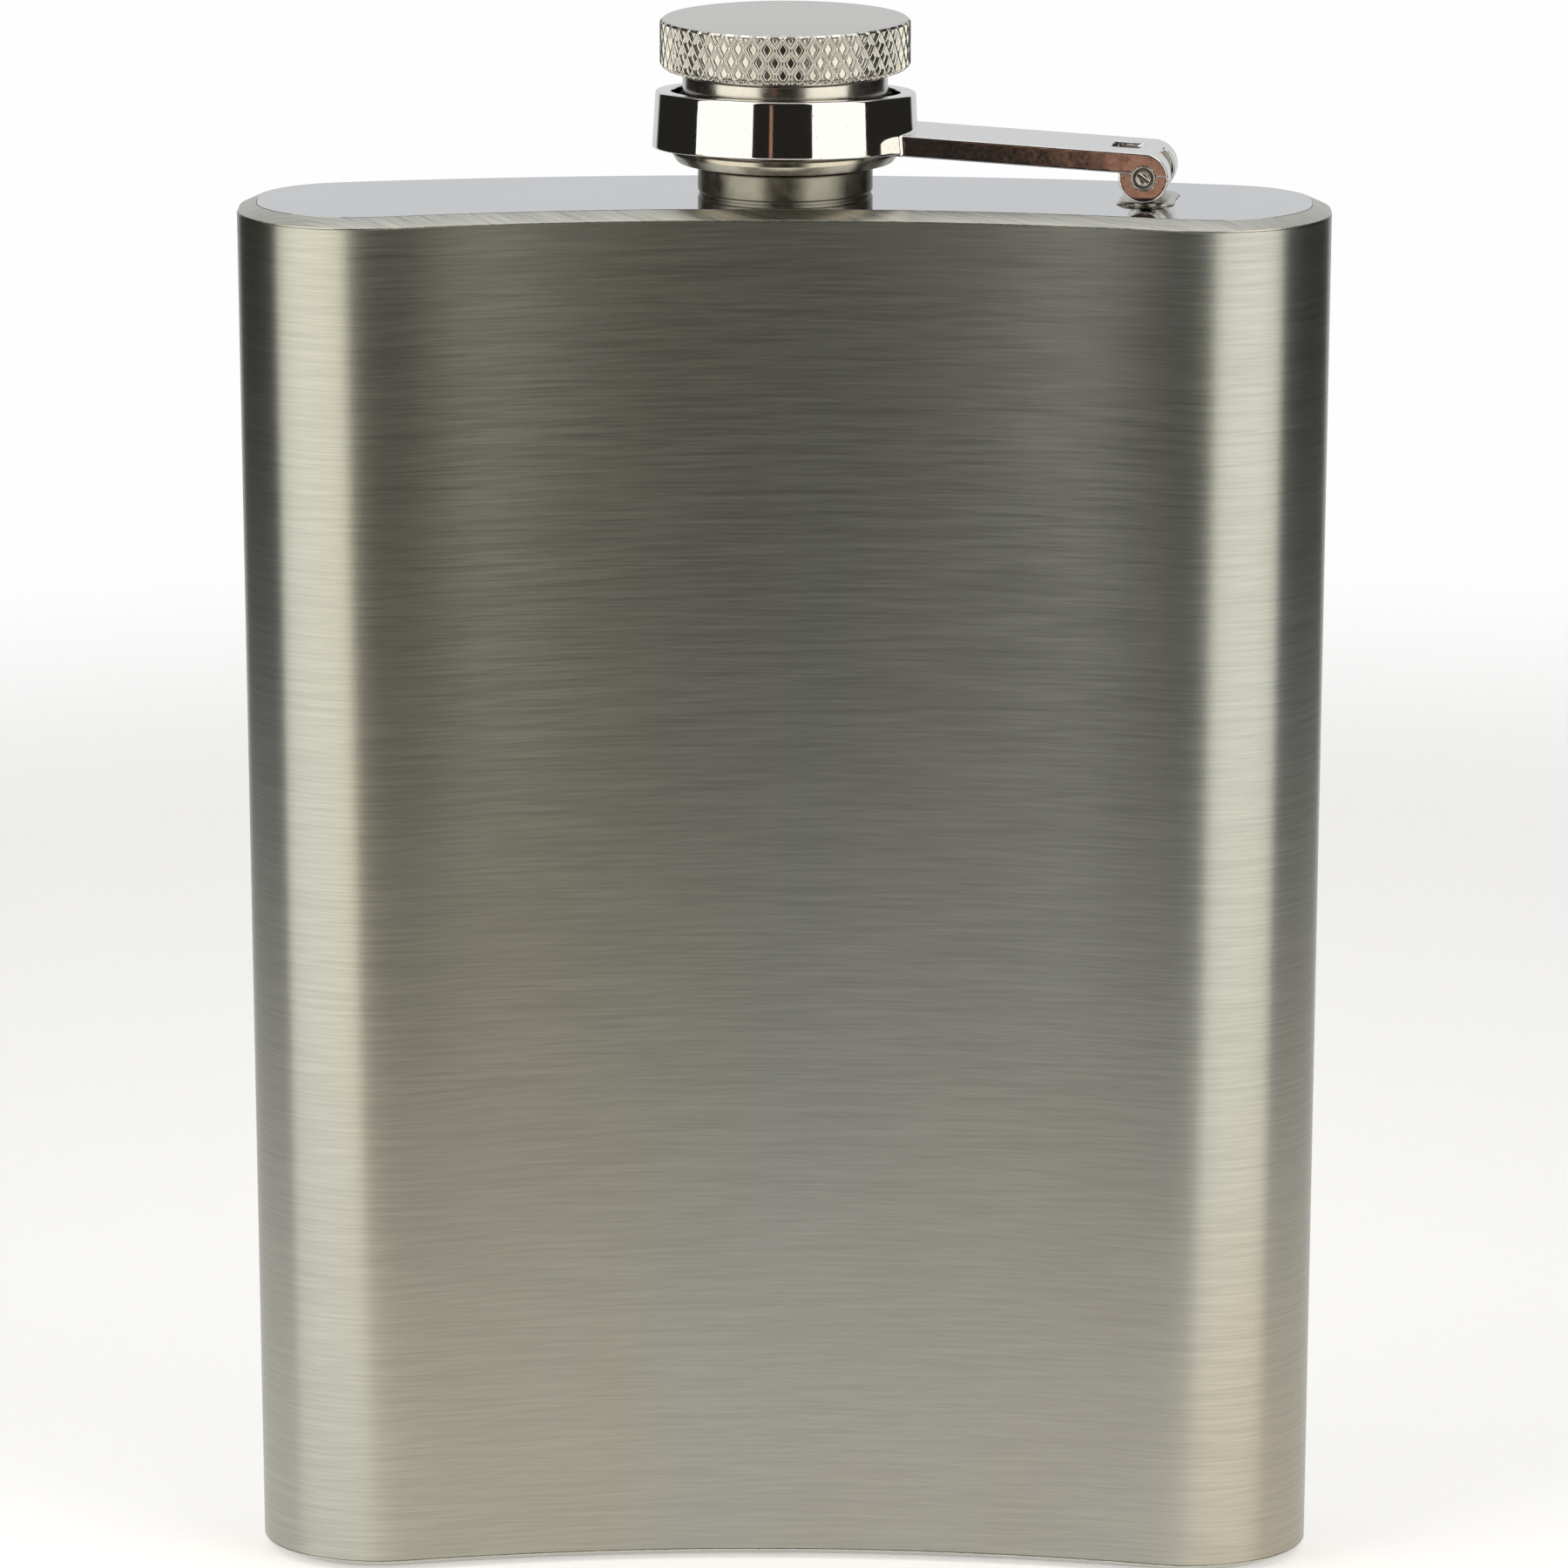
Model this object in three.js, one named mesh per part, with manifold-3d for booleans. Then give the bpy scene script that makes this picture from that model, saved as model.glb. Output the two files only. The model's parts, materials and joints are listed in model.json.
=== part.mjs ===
// Hip flask: a welded kidney-section body with a threaded neck, and a screw cap held captive by a
// strap that is hinged on a post beside the neck. Millimetres, +Z up, origin in the middle of the
// base. The concave side of the body, which lies against the hip, faces -Y.

import * as THREE from "three";
import { mergeVertices } from "three/addons/utils/BufferGeometryUtils.js";
import Module from "manifold-3d";

const wasm = await Module();
wasm.setup();

// ---- Driving dimensions ----

// Body
const topWidth = 95;
const baseWidth = 92.3;
const depth = 22;
const bodyHeight = 120.4;
const hipRadius = 122; // concave side
const backRadius = 166; // convex side
const hipCornerRadius = 10.5;
const backCornerRadius = 9.9;
const sideFlat = 1.5; // shortest flat left between the two corner fillets
const wall = 0.6;
const plateThickness = 0.8;
const bevelRun = 1.7; // ground edge between sleeve and plate
const bevelDrop = 0.8;
const weldDepth = 0.6; // bead below the bevel
const weldFit = 0.02; // gap between welded neighbours
const arcSteps = 14; // per corner; the long sides take twice as many

// Neck
const threadRadius = 7.0; // over the crests; every other radius of neck, cap and ring builds on it
const neckWall = 1.4;
const collarStep = 0.62; // collar beyond the thread's crests
const collarHeight = 2.5;
const neckHeight = 8.0; // rim above the top plate
const spigotStep = 0.4; // thread's crests beyond the spigot, which passes through the plate
const spigotDrop = 0.9; // below the plate's underside
const spigotClearance = 0.05;
const neckLeadIn = 0.4; // chamfer on the rim
const neckWeldWidth = 0.7;
const neckWeldHeight = 0.6;

// Cap
const knobOverhang = 1.98; // knob beyond the shank
const knobHeight = 4.3;
const knobChamfer = 0.35;
const shankStep = 0.64; // shank beyond its turned-down end
const capEndWall = 0.8; // turned-down end, which the retaining ring sits on
const capClearance = 0.4; // cap's lower end above the neck's collar
const capBoreClearance = 0.5; // thread to thread, radially
const capTotalHeight = 12.4; // lower end to flat top
const sealThickness = 1.2;
const sealGap = 0.1;
const sealClearance = 0.15; // seal's edge to the cap's bore

// Retaining ring on the cap's shank
const flangeOverhang = 1.06; // beyond the shank
const flangeLipWall = 1.0;
const flangeHeight = 1.3;
const flangeConeHeight = 0.5;
const flangeFit = 0.02;

// Strap ring round the cap
const ringWall = 1.34; // at its top edge
const ringFloat = 1.06; // ring's hole to the cap's shank
const ringDraft = 3; // degrees
const ringHeight = 5.0;
const ringTilt = 3.5; // degrees; the ring hangs low on the far side
const ringEdge = 0.3; // chamfer round its top
const ringLift = 1.0; // ring's base above the cap's lower end
const ringLipFloat = 0.4; // lip to the cap's shank
const ringLipBottom = 1.1; // above the ring's base
const ringLipHeight = 1.2;
const flangeFloat = 0.4; // ring's counterbore to the flange

// Strap arm and hinge
const hingeReach = 31.8; // cap axis to hinge axis
const hingeYaw = 6.6; // degrees, arm turned towards the hip side
const armThickness = 1.84;
const armWidth = 8.8;
const armInset = 0.01; // arm's top below the crown of the barrel
const armSlope = 3.1; // degrees, falling towards the hinge
const barrelRadius = 2.15;
const barrelLength = 8.7;
const slotWidth = 3.0;
const slotInboard = 3.1; // slot's end, from the hinge axis towards the cap
const bridgeThickness = 0.43;
const bridgeStart = -30; // degrees from the barrel's top, positive away from the cap
const bridgeEnd = 34;
const bridgeBite = 0.4; // how far the bridge runs into each cheek

// Hinge pin and post
const pinRadius = 1.04;
const pinProud = 0.12; // each end beyond the barrel
const pinFit = 0.05;
const pinRunning = 0.08; // pin in the post's eye
const tongueSideClearance = 0.2;
const tongueTopClearance = 0.12; // eye to bridge
const stemWidth = 1.6;
const footLength = 5.4;
const footWidth = 8.2;
const footThickness = 0.3;
const footClearance = 0.1; // foot to barrel

// ---- Derived heights and radii ----

const cornerLimit = Math.min(1, (depth - sideFlat) / (hipCornerRadius + backCornerRadius));
const plateTop = bodyHeight;
const plateUnder = plateTop - plateThickness;
const capBottom = plateTop + collarHeight + capClearance;
const neckRim = plateTop + neckHeight;
const sealBottom = neckRim + sealGap;
const capTop = capBottom + capTotalHeight;
const neckBore = threadRadius - neckWall;
const collarRadius = threadRadius + collarStep;
const spigotRadius = threadRadius - spigotStep;
const capBoreRadius = threadRadius + capBoreClearance;
const flangeSeatRadius = capBoreRadius + capEndWall;
const shankRadius = flangeSeatRadius + shankStep;
const knobRadius = shankRadius + knobOverhang;
const flangeRadius = shankRadius + flangeOverhang;
const flangeLipRadius = flangeSeatRadius + flangeLipWall;
const ringHole = shankRadius + ringFloat;
const ringTopRadius = ringHole + ringWall;
const ringBase = capBottom + ringLift;
const draft = THREE.MathUtils.degToRad(ringDraft);
const barrelHeight = footThickness + footClearance + barrelRadius; // axis above the plate
const hingeZ = plateTop + barrelHeight;
const tongueWidth = slotWidth - 2 * tongueSideClearance;
const eyeRadius = barrelRadius - bridgeThickness - tongueTopClearance;

// ---- Materials ----

const metal = (color, roughness) => new THREE.MeshStandardMaterial({ color, roughness, metalness: 1 });
const brushed = metal(0xb9b4ab, 0.38);
const polished = metal(0xd2d4d6, 0.1);
const ground = metal(0xc6c5c2, 0.3);
const nickel = metal(0xc9c2b6, 0.2);
const chrome = metal(0xd6d8da, 0.06);
const steelPin = metal(0xa9a9a9, 0.25);
const rubber = new THREE.MeshStandardMaterial({ color: 0xe4e1d8, roughness: 0.7, metalness: 0 });

// ---- Geometry helpers ----

// Points of an arc about (cx, cy); angles are measured from +Y towards +X.
function arc(cx, cy, radius, from, to, steps) {
  const points = [];
  for (let i = 0; i < steps; i += 1) {
    const a = from + ((to - from) * i) / steps;
    points.push(new THREE.Vector2(cx + radius * Math.sin(a), cy + radius * Math.cos(a)));
  }
  return points;
}

// Kidney section of the given width, moved inwards by inset, counter-clockwise.
function outline(width, inset) {
  const half = width / 2 - inset;
  const deep = depth / 2 - inset;
  const hip = hipRadius + inset;
  const back = backRadius - inset;
  const hipCorner = hipCornerRadius * cornerLimit - inset;
  const backCorner = backCornerRadius * cornerLimit - inset;
  const hipY = -deep - hip;
  const backY = deep - back;
  const hipX = half - hipCorner;
  const backX = half - backCorner;
  const hipCornerY = hipY + Math.sqrt((hip + hipCorner) ** 2 - hipX ** 2);
  const backCornerY = backY + Math.sqrt((back - backCorner) ** 2 - backX ** 2);
  const hipAngle = Math.atan2(hipX, hipCornerY - hipY);
  const backAngle = Math.atan2(backX, backCornerY - backY);
  const quarter = Math.PI / 2;
  const clockwise = [
    ...arc(0, backY, back, -backAngle, backAngle, 2 * arcSteps),
    ...arc(backX, backCornerY, backCorner, backAngle, quarter, arcSteps),
    ...arc(backX, backCornerY, backCorner, quarter, quarter, 1),
    ...arc(hipX, hipCornerY, hipCorner, quarter, Math.PI + hipAngle, arcSteps),
    ...arc(0, hipY, hip, hipAngle, -hipAngle, 2 * arcSteps),
    ...arc(-hipX, hipCornerY, hipCorner, -Math.PI - hipAngle, -quarter, arcSteps),
    ...arc(-backX, backCornerY, backCorner, -quarter, -quarter, 1),
    ...arc(-backX, backCornerY, backCorner, -quarter, -backAngle, arcSteps),
  ];
  return clockwise.reverse();
}

// Width of the tapered body at height z.
function widthAt(z) {
  return baseWidth + ((topWidth - baseWidth) * z) / bodyHeight;
}

// Closed frame whose section, a list of [inset, z], follows the kidney outline.
function frame(section, widthOf) {
  const rings = section.map(([inset, z]) => ({ z, points: outline(widthOf(z), inset) }));
  const count = rings[0].points.length;
  const position = rings.flatMap(({ z, points }) => points.flatMap((p) => [p.x, p.y, z]));
  const index = [];
  for (let r = 0; r < rings.length; r += 1) {
    const a = r * count;
    const b = ((r + 1) % rings.length) * count;
    for (let i = 0; i < count; i += 1) {
      const j = (i + 1) % count;
      index.push(a + i, a + j, b + j, a + i, b + j, b + i);
    }
  }
  const geometry = new THREE.BufferGeometry();
  geometry.setAttribute("position", new THREE.Float32BufferAttribute(position, 3));
  geometry.setIndex(index);
  geometry.computeVertexNormals();
  return geometry;
}

// Flat plate on the kidney outline, with a round hole where holeRadius is given.
function plate(width, inset, holeRadius) {
  const shape = new THREE.Shape(outline(width, inset));
  if (holeRadius) {
    shape.holes.push(new THREE.Path().absarc(0, 0, holeRadius, 0, 2 * Math.PI, true));
  }
  return new THREE.ExtrudeGeometry(shape, { depth: plateThickness, bevelEnabled: false, curveSegments: 36 });
}

// Body of revolution about Z from a closed profile of [radius, z].
function turned(profile, segments = 64) {
  const points = profile.map(([r, z]) => new THREE.Vector2(r, z));
  if (profile[0][0] > 0) {
    points.push(points[0].clone());
  }
  return new THREE.LatheGeometry(points, segments).rotateX(Math.PI / 2);
}

// Cylinder along Y, centred on the origin.
function rod(radius, length, segments = 40) {
  return new THREE.CylinderGeometry(radius, radius, length, segments);
}

// Prism of a closed [x, z] outline, centred on y = 0.
function prism(points, width) {
  const shape = new THREE.Shape(points.map(([x, z]) => new THREE.Vector2(x, z)));
  const geometry = new THREE.ExtrudeGeometry(shape, { depth: width, bevelEnabled: false });
  return geometry.rotateX(Math.PI / 2).translate(0, width / 2, 0);
}

// ---- Solid joins and cuts ----

function solid(geometry) {
  const bare = geometry.clone();
  bare.deleteAttribute("normal");
  bare.deleteAttribute("uv");
  const merged = mergeVertices(bare, 1e-4);
  const triVerts = new Uint32Array(merged.index.array);
  return new wasm.Manifold(
    new wasm.Mesh({ numProp: 3, vertProperties: merged.attributes.position.array, triVerts }),
  );
}

function geometryOf(manifold) {
  const mesh = manifold.getMesh();
  const geometry = new THREE.BufferGeometry();
  geometry.setAttribute("position", new THREE.BufferAttribute(mesh.vertProperties, 3));
  geometry.setIndex(new THREE.BufferAttribute(mesh.triVerts, 1));
  geometry.computeVertexNormals();
  return geometry;
}

function add(parent, name, geometry, material) {
  const mesh = new THREE.Mesh(geometry, material);
  mesh.name = name;
  parent.add(mesh);
  return mesh;
}

// ---- Body ----

function addBody(group) {
  const lower = bevelDrop + weldDepth;
  const upper = bodyHeight - lower;
  const sleeve = [
    [0, lower + weldFit],
    [0, upper - weldFit],
    [wall, upper - weldFit],
    [wall, lower + weldFit],
  ];
  add(group, "body_shell", frame(sleeve, widthAt), brushed);

  const plateWidth = { top: widthAt(bodyHeight), base: widthAt(0) };
  const topPlate = plate(plateWidth.top, bevelRun + weldFit, spigotRadius + spigotClearance);
  add(group, "top_plate", topPlate, polished).position.z = plateUnder;
  add(group, "bottom_plate", plate(plateWidth.base, bevelRun + weldFit), brushed);

  const topBead = [
    [0, upper],
    [0, bodyHeight - bevelDrop],
    [bevelRun, bodyHeight],
    [bevelRun, upper],
  ];
  add(group, "top_seam_weld", frame(topBead, () => plateWidth.top), ground);
  const baseBead = [
    [bevelRun, lower],
    [bevelRun, 0],
    [0, bevelDrop],
    [0, lower],
  ];
  add(group, "bottom_seam_weld", frame(baseBead, () => plateWidth.base), ground);
}

// ---- Neck ----

function addNeck(group) {
  const foot = plateUnder - spigotDrop;
  const collarBase = plateTop + weldFit;
  const collarTop = plateTop + collarHeight;
  const neck = [
    [neckBore, foot],
    [spigotRadius, foot],
    [spigotRadius, collarBase],
    [collarRadius, collarBase],
    [collarRadius, collarTop],
    [threadRadius, collarTop],
    [threadRadius, neckRim - neckLeadIn],
    [threadRadius - neckLeadIn, neckRim],
    [neckBore, neckRim],
  ];
  add(group, "neck", turned(neck), nickel);

  const bead = [
    [spigotRadius + weldFit, plateUnder - neckWeldHeight],
    [spigotRadius + neckWeldWidth / 2, plateUnder - neckWeldHeight],
    [spigotRadius + neckWeldWidth, plateUnder - weldFit],
    [spigotRadius + weldFit, plateUnder - weldFit],
  ];
  add(group, "neck_weld", turned(bead), ground);
}

// ---- Cap ----

function addCap(group) {
  const shankEnd = capBottom;
  const shoulder = capBottom + flangeHeight;
  const knobBottom = capTop - knobHeight;
  const ceiling = sealBottom + sealThickness + flangeFit;
  const cap = [
    [0, ceiling],
    [capBoreRadius, ceiling],
    [capBoreRadius, shankEnd],
    [flangeSeatRadius, shankEnd],
    [flangeSeatRadius, shoulder],
    [shankRadius, shoulder],
    [shankRadius, knobBottom],
    [knobRadius - knobChamfer, knobBottom],
    [knobRadius, knobBottom + knobChamfer],
    [knobRadius, capTop - knobChamfer],
    [knobRadius - knobChamfer, capTop],
    [0, capTop],
  ];
  add(group, "cap", turned(cap), nickel);

  const rimTop = shoulder - flangeFit;
  const flange = [
    [flangeSeatRadius + flangeFit, capBottom],
    [flangeLipRadius, capBottom],
    [flangeRadius, capBottom + flangeConeHeight],
    [flangeRadius, rimTop],
    [flangeSeatRadius + flangeFit, rimTop],
  ];
  add(group, "cap_retaining_ring", turned(flange), nickel);

  const sealRadius = capBoreRadius - sealClearance;
  const disc = [
    [0, sealBottom],
    [sealRadius, sealBottom],
    [sealRadius, sealBottom + sealThickness],
    [0, sealBottom + sealThickness],
  ];
  add(group, "cap_seal", turned(disc), rubber);
}

// ---- Strap: ring, arm and hinge barrel as one casting ----

// Puts a shape drawn about the ring's own axis, base at z = 0, where the ring hangs.
function hung(geometry) {
  return geometry.rotateX(-THREE.MathUtils.degToRad(ringTilt)).translate(0, 0, ringBase);
}

function ringOuter() {
  const flare = ringHeight * Math.tan(draft);
  return hung(
    turned([
      [0, 0],
      [ringTopRadius + flare, 0],
      [ringTopRadius, ringHeight - ringEdge],
      [ringTopRadius - ringEdge, ringHeight],
      [0, ringHeight],
    ]),
  );
}

// What is taken out of the ring: counterbore for the flange, lip, and the hole above it.
function ringInner() {
  const lipTop = ringLipBottom + ringLipHeight;
  const counterbore = flangeRadius + flangeFloat;
  const lip = shankRadius + ringLipFloat;
  return hung(
    turned([
      [0, -ringHeight],
      [counterbore, -ringHeight],
      [counterbore, ringLipBottom],
      [lip, ringLipBottom],
      [lip, lipTop],
      [ringHole, lipTop],
      [ringHole, 2 * ringHeight],
      [0, 2 * ringHeight],
    ]),
  );
}

// Arm from inside the ring's wall to the barrel; its top runs off the barrel's top.
function arm() {
  const slope = Math.tan(THREE.MathUtils.degToRad(armSlope));
  const start = shankRadius;
  const run = hingeReach - start;
  const topAtHinge = hingeZ + barrelRadius - armInset;
  const side = [
    [start, topAtHinge + run * slope - armThickness],
    [hingeReach, topAtHinge - armThickness],
    [hingeReach, topAtHinge],
    [start, topAtHinge + run * slope],
  ];
  return prism(side, armWidth);
}

// Thin skin over the slot; it meets the post's stem and stops the swing.
function bridge() {
  const steps = 10;
  const side = [];
  for (const [radius, forward] of [
    [barrelRadius, true],
    [barrelRadius - bridgeThickness, false],
  ]) {
    for (let i = 0; i <= steps; i += 1) {
      const t = forward ? i / steps : 1 - i / steps;
      const a = THREE.MathUtils.degToRad(bridgeStart + (bridgeEnd - bridgeStart) * t);
      side.push([hingeReach + radius * Math.sin(a), hingeZ + radius * Math.cos(a)]);
    }
  }
  return prism(side.reverse(), slotWidth + 2 * bridgeBite);
}

function slot() {
  const outboard = 2 * barrelRadius; // cutter runs out beyond the barrel
  const tall = 4 * barrelRadius;
  const length = slotInboard + outboard;
  const box = new THREE.BoxGeometry(length, slotWidth, tall);
  return box.translate(hingeReach + (outboard - slotInboard) / 2, 0, hingeZ);
}

function onHinge(geometry) {
  return geometry.translate(hingeReach, 0, hingeZ);
}

function addStrap(group) {
  const casting = solid(ringOuter())
    .add(solid(arm()))
    .add(solid(onHinge(rod(barrelRadius, barrelLength))))
    .subtract(solid(ringInner()))
    .subtract(solid(slot()))
    .add(solid(bridge()))
    .subtract(solid(onHinge(rod(pinRadius + pinFit, 2 * barrelLength))));
  add(group, "strap", geometryOf(casting), chrome);
  add(group, "hinge_pin", onHinge(rod(pinRadius, barrelLength + 2 * pinProud)), steelPin);
}

// ---- Hinge post: foot on the top plate, and the tongue that carries the pin ----

function addPost(group) {
  const foot = new THREE.BoxGeometry(footLength, footWidth, footThickness);
  foot.translate(hingeReach, 0, plateTop + weldFit + footThickness / 2);
  add(group, "hinge_foot", foot, ground);

  const stemBase = plateTop + 2 * weldFit + footThickness;
  const stemHeight = hingeZ - stemBase;
  const stem = new THREE.BoxGeometry(stemWidth, tongueWidth, stemHeight);
  stem.translate(hingeReach, 0, stemBase + stemHeight / 2);
  const post = solid(stem)
    .add(solid(onHinge(rod(eyeRadius, tongueWidth))))
    .subtract(solid(onHinge(rod(pinRadius + pinRunning, 2 * tongueWidth))));
  add(group, "hinge_post", geometryOf(post), nickel);
}

// ---- Assembly ----

const group = new THREE.Group();
addBody(group);
addNeck(group);
addCap(group);

const strapGroup = new THREE.Group(); // +X runs along the arm, away from the cap
strapGroup.rotation.z = -THREE.MathUtils.degToRad(hingeYaw);
addStrap(strapGroup);
addPost(strapGroup);
group.add(strapGroup);

export default group;
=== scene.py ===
"""Looks of the hip flask: brushed sleeve, ground bevels, knurled cap, chromed strap and studio light.

Lengths in the shape functions are millimetres; put() turns them into metres.
"""

import json
import math

import bpy
import numpy as np
from mathutils import Matrix, Vector


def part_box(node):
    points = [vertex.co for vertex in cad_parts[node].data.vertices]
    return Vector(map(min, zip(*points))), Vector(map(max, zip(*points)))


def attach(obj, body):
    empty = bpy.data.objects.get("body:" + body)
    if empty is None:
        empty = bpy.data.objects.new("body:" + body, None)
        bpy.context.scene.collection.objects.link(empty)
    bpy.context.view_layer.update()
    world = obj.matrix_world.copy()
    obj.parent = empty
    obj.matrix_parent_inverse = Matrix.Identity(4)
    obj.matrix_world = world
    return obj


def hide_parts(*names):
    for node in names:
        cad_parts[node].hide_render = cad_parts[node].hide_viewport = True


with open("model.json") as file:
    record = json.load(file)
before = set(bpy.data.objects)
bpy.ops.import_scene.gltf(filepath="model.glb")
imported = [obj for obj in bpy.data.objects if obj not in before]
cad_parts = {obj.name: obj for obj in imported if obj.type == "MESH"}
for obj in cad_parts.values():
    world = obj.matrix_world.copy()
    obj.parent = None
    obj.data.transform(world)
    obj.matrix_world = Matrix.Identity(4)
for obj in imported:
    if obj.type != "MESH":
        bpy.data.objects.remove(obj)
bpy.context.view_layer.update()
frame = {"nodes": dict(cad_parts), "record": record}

MM = 0.001
JOINTS = {joint["name"]: joint for joint in frame["record"]["behaviour"]["joints"]}


def box_mm(node):
    """Lowest and highest corner of a CAD node, in millimetres."""
    low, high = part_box(node)
    return np.array(low) / MM, np.array(high) / MM


# ---- Places and sizes from the frame ----

TOP_LOW, TOP_HIGH = box_mm("top_seam_weld")
BASE_LOW, BASE_HIGH = box_mm("bottom_seam_weld")
NECK_LOW, NECK_HIGH = box_mm("neck")
CAP_LOW, CAP_HIGH = box_mm("cap")
FLANGE_LOW, FLANGE_HIGH = box_mm("cap_retaining_ring")
SEAL_LOW, SEAL_HIGH = box_mm("cap_seal")
FOOT_LOW, FOOT_HIGH = box_mm("hinge_foot")
PLATE_TOP = TOP_HIGH[2]
TOP_WIDTH = TOP_HIGH[0] - TOP_LOW[0]
BASE_WIDTH = BASE_HIGH[0] - BASE_LOW[0]
HINGE = np.array(JOINTS["strap_swing"]["pos_m"]) / MM
HINGE_AXIS = JOINTS["strap_swing"]["axis"]
ARM_YAW = math.atan2(HINGE_AXIS[0], HINGE_AXIS[1])
REACH = math.hypot(HINGE[0], HINGE[1])

# ---- Sizes of the details ----

DEPTH = 22.0
HIP_RADIUS = 122.0
BACK_RADIUS = 166.0
HIP_CORNER = 10.5
BACK_CORNER = 9.9
WALL = 0.6
BEVEL_RUN = 1.7
BEVEL_DROP = 0.8
BEAD_DEPTH = 0.6
NORMAL_EASE = 6.0

THREAD_RADIUS = 7.0
THREAD_DEPTH = 0.55
THREAD_PITCH = 1.8
NECK_BORE = 5.6
SPIGOT_RADIUS = 6.6
COLLAR_TOP = PLATE_TOP + 2.5
CAP_BORE = 7.5
CAP_SEAT = 8.3
SHANK_RADIUS = 8.94
KNOB_HEIGHT = 4.3
KNURLS = 50
KNURL_HEIGHT = 2.24
KNURL_DEPTH = 0.36
KNURL_STEPS = 20

RING_TOP_RADIUS = 11.34
RING_HOLE = 10.0
RING_HEIGHT = 5.0
RING_DRAFT = math.radians(3)
RING_TILT = math.radians(3.5)
RING_BASE = CAP_LOW[2] + 1.0
RING_LIP = 9.34
RING_COUNTERBORE = 10.4
LIP_BOTTOM = 1.1
LIP_TOP = 2.3

ARM_HALF = 4.4
ARM_THICKNESS = 1.84
ARM_SLOPE = math.radians(3.1)
BARREL_RADIUS = 2.15
BARREL_HALF = 4.3
SLOT_HALF = 1.5
SLOT_INBOARD = 3.1
BRIDGE_THICKNESS = 0.43
BRIDGE_START = math.radians(-30)
BRIDGE_END = math.radians(34)
PIN_RADIUS = 1.04
BRIDGE_OVERLAP = 0.4
TONGUE_HALF = 1.3
EYE_RADIUS = 1.6
STEM_HALF = 0.8

# Where the arm starts, so that it doesn't reach across the ring.
ARM_FIRST_X = 6
ARM_FIRST_RADIUS = 9.6
RING_TOP_FILLET = 0.24
RING_LOW_FILLET = 0.2
CAST_FILLET = 0.16
JOIN_FILLET = 0.28
SLOT_FILLET = 0.12

FOOT_HALF_LENGTH = 2.5
FOOT_HALF_WIDTH = 3.95
FOOT_SLOPE = 0.35
FOOT_CORNER = 1.3
FOOT_LUMP = 0.05

BAR_TURN = math.radians(35)
BAR_HALF_LENGTH = 0.66
BAR_HALF_WIDTH = 0.2
BAR_SUNK = 0.3
BAR_CHAMFER_DEPTH = 0.04
BAR_CHAMFER_RUN = 0.05

CAST_STEP = 0.125
SMALL_CAST_STEP = 0.07

# ---- Studio, in metres and degrees ----

BOX_MIDDLE = 0.1
BOX_TALL = 0.9
BOX_BRIGHTNESS = 1.32
BOX_COLOUR = (1.0, 0.965, 0.86)
OVERHEAD_PLACE = (0, -0.2, 1.5)
OVERHEAD_SIZE = (3.0, 1.6)
OVERHEAD_WATTS = 10

FLOOR_PLACE = (0, 0.13, -0.0001)
FLOOR_HALF = 0.4
FLOOR_FADE = (0.17, 0.34)
FLOOR_GLOW = 0.38

DARK = (0.018, 0.017, 0.015, 1)
SEEN_WHITE = (0.99, 0.99, 0.99, 1)

# The camera that fits the photo's outlines.
CAMERA_PLACE = (0.01965, -1.0054, 0.2814)
CAMERA_DOWN = 12.002
CAMERA_TURN = 1.126
CAMERA_LENS = 267.8


# ---- Mesh helpers ----


def put(name, points, faces, material, body, nodes, normals=None, crease=35):
    """Makes a piece from points in millimetres; it rides on body and stands for the CAD nodes."""
    mesh = bpy.data.meshes.new(name)
    mesh.from_pydata((np.asarray(points) * MM).tolist(), [], faces)
    mesh.validate()
    mesh.shade_smooth()
    if normals is None:
        mesh.set_sharp_from_angle(angle=math.radians(crease))
    else:
        mesh.normals_split_custom_set_from_vertices(normals.tolist())
    mesh.materials.append(material)
    piece = bpy.data.objects.new(name, mesh)
    bpy.context.scene.collection.objects.link(piece)
    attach(piece, body)
    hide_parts(*nodes)
    return piece


def grid_faces(rows, columns, closed_rows):
    """Quads of a grid whose columns close on themselves, and whose rows do where closed_rows is set."""
    faces = []
    for r in range(rows if closed_rows else rows - 1):
        a, b = r * columns, ((r + 1) % rows) * columns
        for c in range(columns):
            d = (c + 1) % columns
            faces.append((a + c, a + d, b + d, b + c))
    return faces


def rounded(corners, steps=5):
    """A polyline from (x, y, fillet) corners, with each filleted corner as an arc."""
    out = []
    count = len(corners)
    for i, (x, y, fillet) in enumerate(corners):
        if fillet == 0:
            out.append((x, y))
            continue
        here = np.array((x, y))
        before = np.array(corners[(i - 1) % count][:2]) - here
        after = np.array(corners[(i + 1) % count][:2]) - here
        before /= np.linalg.norm(before)
        after /= np.linalg.norm(after)
        half = math.acos(np.clip(before @ after, -1, 1)) / 2
        start, end = here + before * fillet / math.tan(half), here + after * fillet / math.tan(half)
        bisector = (before + after) / np.linalg.norm(before + after)
        centre = here + bisector * fillet / math.sin(half)
        sweep = math.pi - 2 * half
        for k in range(steps + 1):
            t = k / steps
            arm = (start - centre) * math.sin((1 - t) * sweep) + (end - centre) * math.sin(t * sweep)
            out.append(tuple(centre + arm / math.sin(sweep)))
    return out


def refined(profile, longest, where):
    """Profile with its long segments split wherever where(r, z) holds at both ends."""
    out = []
    for (r0, z0), (r1, z1) in zip(profile, profile[1:]):
        parts = 1
        if where(r0, z0) and where(r1, z1):
            parts = max(1, math.ceil(math.hypot(r1 - r0, z1 - z0) / longest))
        out += [(r0 + (r1 - r0) * k / parts, z0 + (z1 - z0) * k / parts) for k in range(parts)]
    return out + [profile[-1]]


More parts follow.
